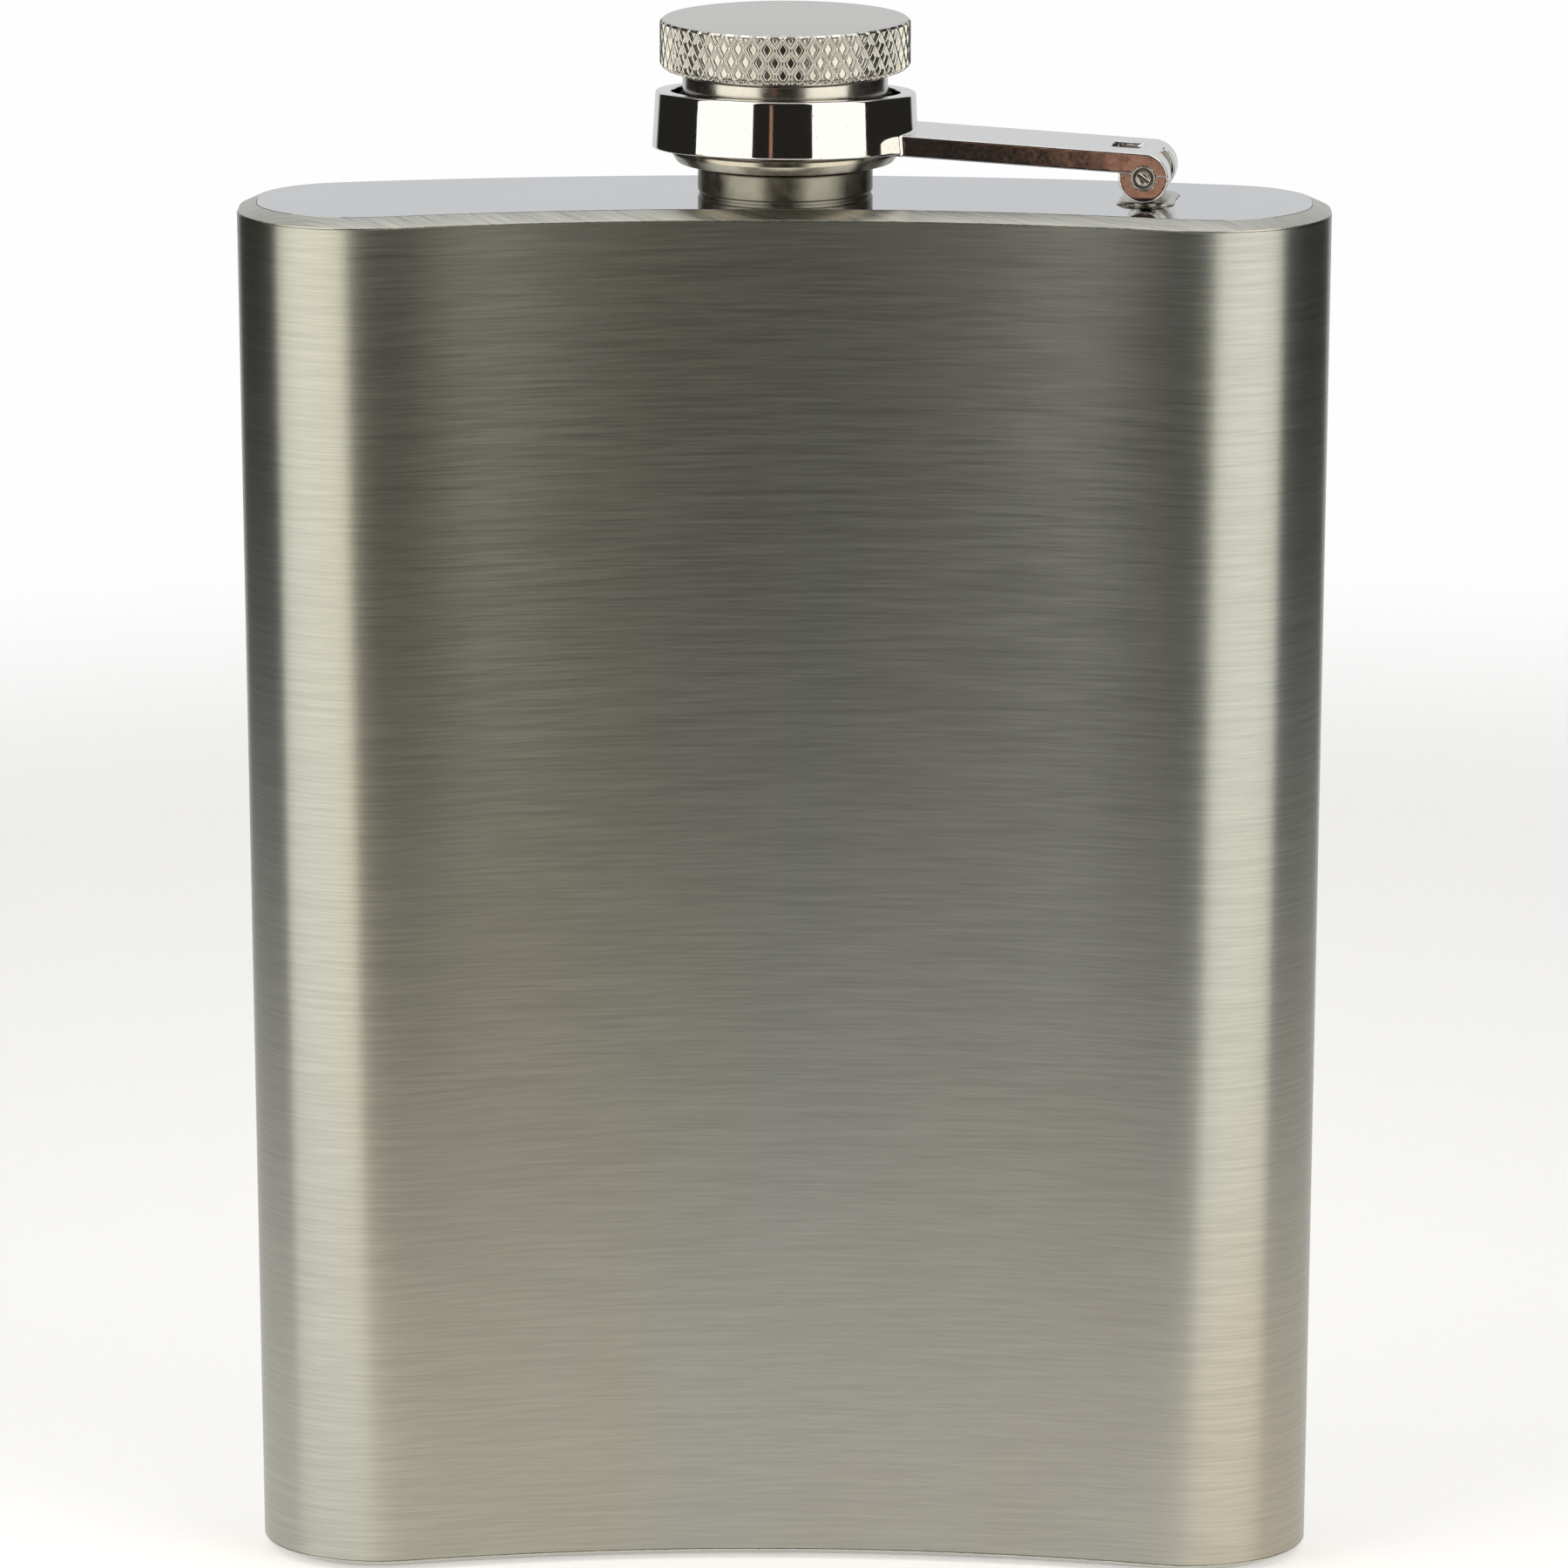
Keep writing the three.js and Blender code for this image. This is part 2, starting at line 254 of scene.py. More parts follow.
def revolve(profile, segments, relief=None):
    """Points and faces of a turned solid. relief(angle, r, z) changes the radius, as a thread does."""
    profile = np.array(profile)
    on_axis = profile[0, 0] < 1e-9
    inner = profile[1:-1] if on_axis else profile
    angle = np.arange(segments) * (2 * math.pi / segments)
    r = np.repeat(inner[:, :1], segments, axis=1)
    z = np.repeat(inner[:, 1:], segments, axis=1)
    a = np.repeat(angle[None, :], len(inner), axis=0)
    if relief:
        r = relief(a, r, z)
    points = np.stack([r * np.cos(a), r * np.sin(a), z], axis=-1).reshape(-1, 3)
    faces = grid_faces(len(inner), segments, closed_rows=not on_axis)
    if on_axis:
        first, last = len(points), len(points) + 1
        points = np.vstack([points, [0, 0, profile[0, 1]], [0, 0, profile[-1, 1]]])
        top = (len(inner) - 1) * segments
        for c in range(segments):
            d = (c + 1) % segments
            faces.append((first, d, c))
            faces.append((last, top + c, top + d))
    return points, faces


# ---- Kidney section ----


def arc(cx, cy, radius, start, end, steps):
    a = start + (end - start) * np.arange(steps) / steps
    return np.stack([cx + radius * np.sin(a), cy + radius * np.cos(a)], axis=-1)


def outline(width, inset):
    """Counter-clockwise kidney outline of the given width, moved inwards by inset."""
    half, deep = width / 2 - inset, DEPTH / 2 - inset
    hip, back = HIP_RADIUS + inset, BACK_RADIUS - inset
    hip_corner, back_corner = HIP_CORNER - inset, BACK_CORNER - inset
    hip_y, back_y = -deep - hip, deep - back
    hip_x, back_x = half - hip_corner, half - back_corner
    hip_cy = hip_y + math.sqrt((hip + hip_corner) ** 2 - hip_x**2)
    back_cy = back_y + math.sqrt((back - back_corner) ** 2 - back_x**2)
    hip_a = math.atan2(hip_x, hip_cy - hip_y)
    back_a = math.atan2(back_x, back_cy - back_y)
    quarter, corner_steps, side_steps = math.pi / 2, 40, 80
    clockwise = np.vstack(
        [
            arc(0, back_y, back, -back_a, back_a, side_steps),
            arc(back_x, back_cy, back_corner, back_a, quarter, corner_steps),
            arc(back_x, back_cy, back_corner, quarter, quarter, 1),
            arc(hip_x, hip_cy, hip_corner, quarter, math.pi + hip_a, corner_steps),
            arc(0, hip_y, hip, hip_a, -hip_a, side_steps),
            arc(-hip_x, hip_cy, hip_corner, -math.pi - hip_a, -quarter, corner_steps),
            arc(-back_x, back_cy, back_corner, -quarter, -quarter, 1),
            arc(-back_x, back_cy, back_corner, -quarter, -back_a, corner_steps),
        ]
    )
    return clockwise[::-1]


def width_at(z):
    return BASE_WIDTH + (TOP_WIDTH - BASE_WIDTH) * z / PLATE_TOP


def eased(ring):
    """Outward normals of a closed outline, blurred along it by a bell curve.

    NORMAL_EASE is the curve's standard deviation. Only the shading changes: the points stay on the
    outline, so the sleeve shades softer than its real section.
    """
    ahead, behind = np.roll(ring, -1, axis=0), np.roll(ring, 1, axis=0)
    run = ahead - behind
    length = np.linalg.norm(run, axis=1)
    normal = np.column_stack([run[:, 1], -run[:, 0]]) / length[:, None]
    place = np.cumsum(np.linalg.norm(ring - behind, axis=1))
    around = place[-1]
    gap = np.abs(place[:, None] - place[None, :])
    gap = np.minimum(gap, around - gap)
    weight = np.exp(-0.5 * (gap / NORMAL_EASE) ** 2) * length[None, :]
    out = weight @ normal
    return out / np.linalg.norm(out, axis=1)[:, None]


def kidney_frame(section, width=None):
    """Closed frame whose (inset, z) section follows the outline."""
    rings = []
    for inset, z in section:
        ring = outline(width or width_at(z), inset)
        rings.append(np.column_stack([ring, np.full(len(ring), z)]))
    return np.vstack(rings), grid_faces(len(rings), len(rings[0]), closed_rows=True)


# ---- Surfaces from distance functions, for the castings ----


def round_cut(a, b, radius):
    """Overlap of two solids with its edge rounded."""
    u, v = np.maximum(radius + a, 0), np.maximum(radius + b, 0)
    return np.minimum(-radius, np.maximum(a, b)) + np.hypot(u, v)


def round_join(a, b, radius):
    """Union of two solids with a fillet."""
    return -round_cut(-a, -b, radius)


def gradient(field, p, h=0.004):
    out = np.empty_like(p)
    for axis in range(3):
        step = np.zeros(3)
        step[axis] = h
        out[:, axis] = field(*(p + step).T) - field(*(p - step).T)
    return out / (2 * h)


def skin(field, low, high, step):
    """Points, quads and normals of the surface where field is zero, by surface nets."""
    axes = [np.arange(low[i], high[i] + step, step) for i in range(3)]
    value = field(*np.meshgrid(*axes, indexing="ij"))
    inside = value < 0
    shape = np.array(value.shape) - 1
    corner = [
        (slice(i, i + shape[0]), slice(j, j + shape[1]), slice(k, k + shape[2]))
        for i in (0, 1) for j in (0, 1) for k in (0, 1)
    ]
    total = sum(inside[c].astype(np.int8) for c in corner)
    cells = np.argwhere((total > 0) & (total < 8))
    number = np.full(shape, -1)
    number[tuple(cells.T)] = np.arange(len(cells))
    points, hits = np.zeros((len(cells), 3)), np.zeros((len(cells), 1))
    offsets = np.array([(i, j, k) for i in (0, 1) for j in (0, 1) for k in (0, 1)])
    for a in range(8):
        for b in range(a + 1, 8):
            if np.abs(offsets[a] - offsets[b]).sum() != 1:
                continue
            va, vb = value[tuple((cells + offsets[a]).T)], value[tuple((cells + offsets[b]).T)]
            cross = (va < 0) != (vb < 0)
            t = np.where(cross, va / np.where(cross, va - vb, 1), 0)[:, None]
            points += np.where(cross[:, None], cells + offsets[a] + t * (offsets[b] - offsets[a]), 0)
            hits += cross[:, None]
    points = points / hits * step + np.array(low)
    for _ in range(3):
        slope = gradient(field, points)
        size = np.maximum((slope**2).sum(1, keepdims=True), 0.2)
        points = points - np.clip(field(*points.T)[:, None] * slope / size, -step / 2, step / 2)
    faces = []
    for axis in range(3):
        u, v = (axis + 1) % 3, (axis + 2) % 3
        here = [slice(0, n) for n in shape + 1]
        there = list(here)
        here[axis], there[axis] = slice(0, shape[axis]), slice(1, shape[axis] + 1)
        first, second = inside[tuple(here)], inside[tuple(there)]
        for flip, hit in ((False, first & ~second), (True, ~first & second)):
            edge = np.argwhere(hit)
            low_side = (edge[:, u] > 0) & (edge[:, v] > 0)
            high_side = (edge[:, u] < shape[u]) & (edge[:, v] < shape[v])
            edge = edge[low_side & high_side]
            quad = []
            for du, dv in ((1, 1), (0, 1), (0, 0), (1, 0)):
                cell = edge.copy()
                cell[:, u] -= du
                cell[:, v] -= dv
                quad.append(number[tuple(cell.T)])
            quad = np.stack(quad[::-1] if flip else quad, axis=-1)
            faces.append(quad)
    normals = gradient(field, points)
    normals /= np.maximum(np.linalg.norm(normals, axis=1, keepdims=True), 1e-9)
    return points, np.vstack(faces).tolist(), normals


def turn_to_arm(points):
    """From the arm's own frame, +X away from the cap, into the flask's."""
    c, s = math.cos(ARM_YAW), math.sin(ARM_YAW)
    x, y, z = points.T
    return np.column_stack([x * c + y * s, y * c - x * s, z])


def put_cast(name, field, low, high, step, material, body, nodes):
    points, faces, normals = skin(field, low, high, step)
    return put(name, turn_to_arm(points), faces, material, body, nodes, normals=turn_to_arm(normals))


# ---- Material nodes ----


class Nodes:
    """Short way to add and link shader nodes."""

    def __init__(self, tree):
        self.tree = tree
        tree.nodes.clear()

    def add(self, kind, settings=None, **inputs):
        node = self.tree.nodes.new(kind)
        for key, value in (settings or {}).items():
            setattr(node, key, value)
        for key, value in inputs.items():
            self.set(node, key.replace("_", " "), value)
        return node

    def set(self, node, key, value):
        socket = node.inputs[int(key[3:])] if key.startswith("in ") else node.inputs[key]
        if isinstance(value, bpy.types.NodeSocket):
            self.tree.links.new(value, socket)
        else:
            socket.default_value = value

    def math(self, operation, a, b=0.0, c=0.0, clamp=False):
        node = self.add("ShaderNodeMath", {"operation": operation, "use_clamp": clamp})
        for i, value in enumerate((a, b, c)):
            self.set(node, f"in {i}", value)
        return node.outputs[0]

    def scaled(self, vector, x, y, z):
        node = self.add("ShaderNodeVectorMath", {"operation": "MULTIPLY"})
        self.set(node, "in 0", vector)
        self.set(node, "in 1", (x, y, z))
        return node.outputs[0]

    def noise(self, vector, scale=1.0, detail=2.0, roughness=0.5):
        node = self.add("ShaderNodeTexNoise", Vector=vector, Scale=scale, Detail=detail, Roughness=roughness)
        return node.outputs[0]

    def remap(self, value, low, high, to_low, to_high, smooth=False):
        kind = "SMOOTHSTEP" if smooth else "LINEAR"
        node = self.add("ShaderNodeMapRange", {"interpolation_type": kind})
        for i, v in enumerate((value, low, high, to_low, to_high)):
            self.set(node, f"in {i}", v)
        return node.outputs[0]

    def mix(self, factor, a, b):
        node = self.add("ShaderNodeMix", {"data_type": "RGBA"})
        self.set(node, "in 0", factor)
        self.set(node, "in 6", a)
        self.set(node, "in 7", b)
        return node.outputs[2]


def new_metal(name, anisotropy=0.0, tangent=None):
    """A metallic material: its node helper, object coordinates and shader node."""
    material = bpy.data.materials.new(name)
    material.use_nodes = True
    nodes = Nodes(material.node_tree)
    output = nodes.add("ShaderNodeOutputMaterial")
    shader = nodes.add("ShaderNodeBsdfPrincipled", Metallic=1.0, Anisotropic=anisotropy)
    nodes.tree.links.new(shader.outputs[0], output.inputs[0])
    if tangent:
        node = nodes.add("ShaderNodeTangent", {"direction_type": "RADIAL", "axis": tangent})
        nodes.set(shader, "Tangent", node.outputs[0])
    place = nodes.add("ShaderNodeTexCoord").outputs["Object"]
    return material, nodes, place, shader


def shade(nodes, shader, colour, roughness, height=None, bump=0.0):
    """Links colour, roughness and, where given, a bump of so many metres."""
    nodes.set(shader, "Base Color", colour)
    nodes.set(shader, "Roughness", roughness)
    if height is not None:
        node = nodes.add("ShaderNodeBump", Height=height, Distance=bump, Strength=1.0)
        nodes.set(shader, "Normal", node.outputs[0])


def brushed_steel(name):
    """Sleeve: fine strokes round the body, in two directions a degree or two apart."""
    material, nodes, place, shader = new_metal(name, anisotropy=0.95, tangent="Z")
    nodes.set(shader, "Anisotropic Rotation", 0.25)
    separate = nodes.add("ShaderNodeSeparateXYZ", Vector=place)
    x, y, z = separate.outputs
    strokes = []
    for tilt, thickness, length, shift in ((0.02, 0.00016, 0.013, 0.0), (-0.035, 0.0003, 0.008, 3.7)):
        level = nodes.math("MULTIPLY_ADD", x, tilt, z)
        vector = nodes.add("ShaderNodeCombineXYZ")
        nodes.set(vector, "X", nodes.math("MULTIPLY_ADD", x, 1 / length, shift))
        nodes.set(vector, "Y", nodes.math("MULTIPLY", y, 1 / length))
        nodes.set(vector, "Z", nodes.math("MULTIPLY", level, 1 / thickness))
        strokes.append(nodes.noise(vector.outputs[0], detail=3.0, roughness=0.6))
    stroke = nodes.math("MULTIPLY", nodes.math("ADD", *strokes), 0.5)
    # Painted reflection: cloudy warm patches towards the bottom of the sleeve, a mirrored reflection painted
    # into the colour.
    reflection_patches = nodes.noise(nodes.scaled(place, 1, 1, 0.8), scale=32.0, detail=2.0)
    tone = nodes.remap(stroke, 0.40, 0.60, 0.0, 1.0)
    steel = nodes.mix(tone, (0.475, 0.475, 0.43, 1), (0.585, 0.585, 0.535, 1))
    painted_warm_reflection = nodes.mix(tone, (0.49, 0.455, 0.40, 1), (0.60, 0.56, 0.49, 1))
    low = nodes.remap(z, 0.02, 0.09, 1.0, 0.0, smooth=True)
    colour = nodes.mix(nodes.math("MULTIPLY", nodes.remap(reflection_patches, 0.4, 0.65, 0.2, 0.9), low), steel, painted_warm_reflection)
    band = nodes.remap(nodes.noise(nodes.scaled(place, 45, 45, 5), detail=1.0), 0.4, 0.6, 0.0, 1.0)
    tint = nodes.add("ShaderNodeMix", {"data_type": "RGBA", "blend_type": "MULTIPLY"})
    nodes.set(tint, "in 0", 1.0)
    nodes.set(tint, "in 6", colour)
    nodes.set(tint, "in 7", nodes.mix(band, (1.0, 0.985, 0.91, 1), (0.95, 0.98, 1.0, 1)))
    colour = tint.outputs[2]
    grain = nodes.noise(place, scale=3800.0, detail=1.0)
    roughness = nodes.remap(stroke, 0.3, 0.7, 0.36, 0.43)
    shade(nodes, shader, colour, roughness, nodes.math("MULTIPLY_ADD", grain, 0.55, stroke), 0.000006)
    return material


def ground_steel(name):
    """Bevels: coarse slanting grinding marks."""
    material, nodes, place, shader = new_metal(name)
    marks = []
    for turn, width in ((0.55, 0.00016), (0.35, 0.0003)):
        node = nodes.add("ShaderNodeVectorRotate", {"rotation_type": "Z_AXIS"}, Vector=place, Angle=turn)
        along_marks = nodes.scaled(node.outputs[0], 120, 1 / width, 120)
        marks.append(nodes.noise(along_marks, detail=3.0, roughness=0.65))
    mark = nodes.math("MULTIPLY", nodes.math("ADD", *marks), 0.5)
    tone = nodes.remap(mark, 0.35, 0.65, 0.0, 1.0)
    colour = nodes.mix(tone, (0.46, 0.455, 0.41, 1), (0.68, 0.675, 0.62, 1))
    shade(nodes, shader, colour, nodes.remap(mark, 0.3, 0.7, 0.22, 0.4), mark, 0.00002)
    return material


def polished_steel(name):
    """Top plate: nearly a mirror, with a faint haze and hairlines."""
    material, nodes, place, shader = new_metal(name)
    haze = nodes.noise(place, scale=60.0, detail=3.0)
    hair = nodes.noise(nodes.scaled(place, 300, 6000, 300), detail=2.0)
    colour = nodes.mix(haze, (0.66, 0.67, 0.68, 1), (0.72, 0.73, 0.74, 1))
    dull, scratched = nodes.remap(haze, 0.3, 0.7, 0.05, 0.09), nodes.remap(hair, 0.5, 0.8, 0.0, 0.05)
    roughness = nodes.math("ADD", dull, scratched)
    shade(nodes, shader, colour, roughness, hair, 0.0000006)
    return material


def nickel(name, tint, rough):
    """Turned and plated parts: faint rings left by the lathe, and a little mottling."""
    material, nodes, place, shader = new_metal(name)
    separate = nodes.add("ShaderNodeSeparateXYZ", Vector=place)
    level = nodes.add("ShaderNodeCombineXYZ")
    nodes.set(level, "Z", nodes.math("MULTIPLY", separate.outputs[2], 9000.0))
    rings = nodes.noise(level.outputs[0], detail=2.0)
    mottle = nodes.noise(place, scale=900.0, detail=4.0, roughness=0.6)
    dark = tuple(0.92 * c for c in tint) + (1,)
    colour = nodes.mix(nodes.remap(mottle, 0.35, 0.65, 0.0, 1.0), dark, (*tint, 1))
    height = nodes.math("MULTIPLY_ADD", rings, 0.5, mottle)
    shade(nodes, shader, colour, nodes.remap(mottle, 0.3, 0.7, rough * 0.75, rough * 1.3), height, 0.000003)
    return material


def chrome(name):
    """Strap: bright plating with the slight waviness of a polished casting."""
    material, nodes, place, shader = new_metal(name)
    wave = nodes.noise(place, scale=220.0, detail=2.0)
    speck = nodes.noise(place, scale=2600.0, detail=2.0)
    colour = nodes.mix(nodes.remap(speck, 0.62, 0.72, 0.0, 1.0), (0.86, 0.85, 0.83, 1), (0.70, 0.68, 0.64, 1))
    roughness = nodes.remap(speck, 0.3, 0.8, 0.03, 0.08)
    shade(nodes, shader, colour, roughness, wave, 0.000007)
    return material


def seal_plastic(name):
    material, nodes, place, shader = new_metal(name)
    nodes.set(shader, "Metallic", 0.0)
    grain = nodes.noise(place, scale=1500.0, detail=3.0)
    colour = nodes.mix(grain, (0.74, 0.72, 0.66, 1), (0.84, 0.82, 0.76, 1))
    shade(nodes, shader, colour, nodes.remap(grain, 0.3, 0.7, 0.5, 0.7), grain, 0.00001)
    return material


# ---- Body pieces ----


def make_body(materials):
    low_edge, high_edge = BASE_LOW[2] + BEVEL_DROP, PLATE_TOP - BEVEL_DROP
    under = BEAD_DEPTH + BEVEL_DROP
    soft = 0.12
    sleeve = [
        (0.0, low_edge + soft),
        (0.0, high_edge - soft),
        (WALL / 3, high_edge - soft / 3),
        (WALL, high_edge - soft),
        (WALL, low_edge + soft),
        (WALL / 3, low_edge + soft / 3),
    ]
    points, faces = kidney_frame(sleeve)
    normals = []
    for (inset, z), (across, up) in zip(sleeve, [(1, -0.2), (1, 0.2), (0.3, 1), (-1, 0), (-1, 0), (0.3, -1)]):
        flat = eased(outline(width_at(z), inset)) * across
        normals.append(np.column_stack([flat, np.full(len(flat), up)]))
    normals = np.vstack(normals)
    normals /= np.linalg.norm(normals, axis=1)[:, None]
    put("sleeve", points, faces, materials["brushed"], "flask", ["body_shell"], normals)

    gap = 0.03
    top = rounded(
        [
            (WALL + gap, PLATE_TOP - under, 0),
            (WALL + gap, high_edge, 0),
            (0.05, high_edge - 0.05, 0.04),
            (0.10, high_edge + 0.08, 0.08),
            (BEVEL_RUN - 0.05, PLATE_TOP, 0.12),
            (BEVEL_RUN, PLATE_TOP - 0.06, 0.04),
            (BEVEL_RUN, PLATE_TOP - under, 0),
        ]
    )
    points, faces = kidney_frame(top, TOP_WIDTH)
    put("top_bevel", points, faces, materials["ground"], "flask", ["top_seam_weld"], crease=20)
    base = [(inset, PLATE_TOP - z) for inset, z in top[::-1]]
    points, faces = kidney_frame(base, BASE_WIDTH)
    put("base_bevel", points, faces, materials["ground"], "flask", ["bottom_seam_weld"], crease=20)


def thread_wave(angle, z, pitch):
    """Between 0 in the groove and 1 on the crest of a right-handed thread."""
    phase = (z / pitch - angle / (2 * math.pi)) % 1.0
    return np.clip(1.6 - 3.2 * np.abs(phase - 0.5), 0, 1)


def make_neck(materials):
    rim, collar = NECK_HIGH[2], NECK_HIGH[0]
    base = PLATE_TOP + 0.02
    profile = rounded(
        [
            (NECK_BORE, NECK_LOW[2], 0.15),
            (SPIGOT_RADIUS, NECK_LOW[2], 0.15),
            (SPIGOT_RADIUS, base, 0),
            (collar - 0.12, base, 0),
            (collar - 0.12, base + 0.22, 0.05),
            (collar, base + 0.36, 0.05),
            (collar, COLLAR_TOP, 0.2),
            (THREAD_RADIUS, COLLAR_TOP, 0.1),
            (THREAD_RADIUS, rim, 0.4),
            (NECK_BORE, rim, 0.2),
        ]
    )
    start, end = COLLAR_TOP + 0.3, rim - 0.5

    def threaded(r, z):
        return abs(r - THREAD_RADIUS) < 0.01 and z > COLLAR_TOP

    def relief(angle, r, z):
        groove = 1 - thread_wave(angle, z, THREAD_PITCH)
        window = np.clip((z - start) / 0.4, 0, 1) * np.clip((end - z) / 0.4, 0, 1)
        on_thread = (np.abs(r - THREAD_RADIUS) < 0.01) & (z > COLLAR_TOP)
        return np.where(on_thread, r - THREAD_DEPTH * groove * window, r)

    points, faces = revolve(refined(profile, 0.12, threaded), 160, relief)
    put("threaded_neck", points, faces, materials["neck"], "flask", ["neck"])


# ---- Cap pieces ----


def knurl(angle, z):
    """1 on the crossing ridges of the knurl, 0 in its diamond pits."""
    u, v = angle * KNURLS / (2 * math.pi), z / KNURL_HEIGHT
    ridges = []
    for t in (u + v, u - v):
        off = np.abs((t % 1.0) - 0.5) * 2
        rise = np.clip((off - 0.52) / 0.42, 0, 1)
        ridges.append(rise * rise * (3 - 2 * rise))
    return np.maximum(*ridges)


def make_cap(materials):
    low, high = CAP_LOW[2], CAP_HIGH[2]
    knob = CAP_HIGH[0]
    knob_bottom = high - KNOB_HEIGHT
    ceiling, shoulder = SEAL_HIGH[2] + 0.02, FLANGE_HIGH[2] + 0.02
    profile = rounded(
        [
            (0, ceiling, 0),
            (CAP_BORE, ceiling, 0.1),
            (CAP_BORE, low, 0.15),
            (CAP_SEAT, low, 0.1),
            (CAP_SEAT, shoulder, 0.05),
            (SHANK_RADIUS, shoulder, 0.1),
            (SHANK_RADIUS, knob_bottom - 0.55, 0.05),
            (SHANK_RADIUS - 0.2, knob_bottom - 0.35, 0.05),
            (SHANK_RADIUS - 0.2, knob_bottom, 0.12),
            (knob - 0.4, knob_bottom, 0.1),
            (knob, knob_bottom + 0.3, 0.05),
        ]
    )
    step = KNURL_HEIGHT / KNURL_STEPS
    first, last = math.ceil((knob_bottom + 0.3) / step), math.floor((high - 0.3) / step)
    profile += [(knob, row * step) for row in range(first + 1, last)]
    edge_and_top = [(knob, last * step, 0), (knob, high - 0.26, 0.06), (knob - 0.3, high, 0.2), (0, high, 0)]
    profile += rounded(edge_and_top)

    def detailed(r, z):
        return abs(r - CAP_BORE) < 0.01

    def relief(angle, r, z):
        band = (r > knob - 0.5) & (z > knob_bottom - 0.01)
        window = np.clip((z - knob_bottom) / 0.2, 0, 1) * np.clip((high - 0.2 - z) / 0.12, 0, 1)
        r = np.where(band, r - KNURL_DEPTH * (1 - knurl(angle, z)) * window, r)
        bore = (np.abs(r - CAP_BORE) < 0.01) & (z < SEAL_LOW[2] - 0.4) & (z > low + 0.2)
        return np.where(bore, r + 0.3 * (1 - thread_wave(angle, z, THREAD_PITCH)), r)

    points, faces = revolve(refined(profile, 0.1, detailed), KNURLS * KNURL_STEPS, relief)
    put("knurled_cap", points, faces, materials["cap"], "cap", ["cap"], crease=50)

    seat = CAP_SEAT + 0.02
    flange = FLANGE_HIGH[0]
    lip = rounded(
        [
            (seat, FLANGE_LOW[2], 0),
            (seat + 1.15, FLANGE_LOW[2], 0.12),
            (flange, FLANGE_LOW[2] + 0.8, 0.12),
            (flange, FLANGE_HIGH[2], 0.2),
            (seat, FLANGE_HIGH[2], 0),
        ]
    )
    points, faces = revolve(lip, 200)
    put("cap_flange", points, faces, materials["shank"], "cap", ["cap_retaining_ring"])

    edge = SEAL_HIGH[0]
    disc = rounded(
        [
            (0, SEAL_LOW[2], 0),
            (NECK_BORE - 0.3, SEAL_LOW[2], 0.1),
            (NECK_BORE - 0.2, SEAL_LOW[2] + 0.12, 0.05),
            (edge - 0.3, SEAL_LOW[2] + 0.12, 0.1),
            (edge, SEAL_LOW[2] + 0.3, 0.1),
            (edge, SEAL_HIGH[2], 0.1),
            (0, SEAL_HIGH[2], 0),
        ]
    )
    points, faces = revolve(disc, 96)
    put("seal_disc", points, faces, materials["seal"], "cap", ["cap_seal"])


# ---- Strap and hinge ----


def barrel_distance(x, z):
    return np.hypot(x - REACH, z - HINGE[2]) - BARREL_RADIUS


def strap_field(x, y, z):
    """Distance to the strap: ring, arm and slotted hinge barrel in one casting."""
    c, s = math.cos(RING_TILT), math.sin(RING_TILT)
    ry = y * c - (z - RING_BASE) * s
    rz = y * s + (z - RING_BASE) * c
    r = np.hypot(x, ry)
    cone = (r - RING_TOP_RADIUS - (RING_HEIGHT - rz) * math.tan(RING_DRAFT)) * math.cos(RING_DRAFT)
    ring = round_cut(round_cut(cone, rz - RING_HEIGHT, RING_TOP_FILLET), -rz, RING_LOW_FILLET)

    top = (z - HINGE[2] - BARREL_RADIUS - (REACH - x) * math.tan(ARM_SLOPE)) * math.cos(ARM_SLOPE)
    bottom = -top - ARM_THICKNESS
    side = np.abs(y) - ARM_HALF
    arm = round_cut(round_cut(top, bottom, CAST_FILLET), side, CAST_FILLET)
    arm = np.maximum(np.maximum(arm, x - REACH), np.maximum(ARM_FIRST_RADIUS - r, ARM_FIRST_X - x))
    solid = round_join(ring, arm, JOIN_FILLET)

    barrel = barrel_distance(x, z)
    crown = np.maximum(round_cut(barrel, side, CAST_FILLET), bottom)
    cheeks = round_cut(barrel, np.abs(y) - BARREL_HALF, 0.14)
    solid = np.minimum(solid, np.maximum(crown, REACH - 1.0 - x))
    solid = np.minimum(solid, cheeks)

    counterbore = np.maximum(r - RING_COUNTERBORE, rz - LIP_BOTTOM)
    upper = np.maximum(r - RING_HOLE, LIP_TOP - rz)
    hollow = np.minimum(np.minimum(counterbore, upper), r - RING_LIP)
    solid = round_cut(solid, -hollow, 0.2)

    slot = np.maximum(np.abs(y) - SLOT_HALF, REACH - SLOT_INBOARD - x)
    solid = round_cut(solid, -slot, SLOT_FILLET)
    angle = np.arctan2(x - REACH, z - HINGE[2])
    reach = barrel + BARREL_RADIUS
    sector = np.maximum(BRIDGE_START - angle, angle - BRIDGE_END) * reach
    bridge = round_cut(np.maximum(barrel, -barrel - BRIDGE_THICKNESS), sector, 0.1)
    solid = round_join(solid, np.maximum(bridge, np.abs(y) - SLOT_HALF - BRIDGE_OVERLAP), 0.1)
    return np.maximum(solid, PIN_RADIUS + 0.02 - reach)


def post_field(x, y, z):
    """Distance to the post: an eye round the pin on a stem that spreads into the foot."""
    reach = np.hypot(x - REACH, z - HINGE[2])
    eye = reach - EYE_RADIUS
    stem = np.maximum(np.abs(x - REACH) - STEM_HALF, z - HINGE[2])
    body = round_cut(round_join(eye, stem, 0.15), np.abs(y) - TONGUE_HALF, 0.15)
    body = np.maximum(body, FOOT_HIGH[2] + 0.01 - z)
    return np.maximum(body, PIN_RADIUS + 0.07 - reach)


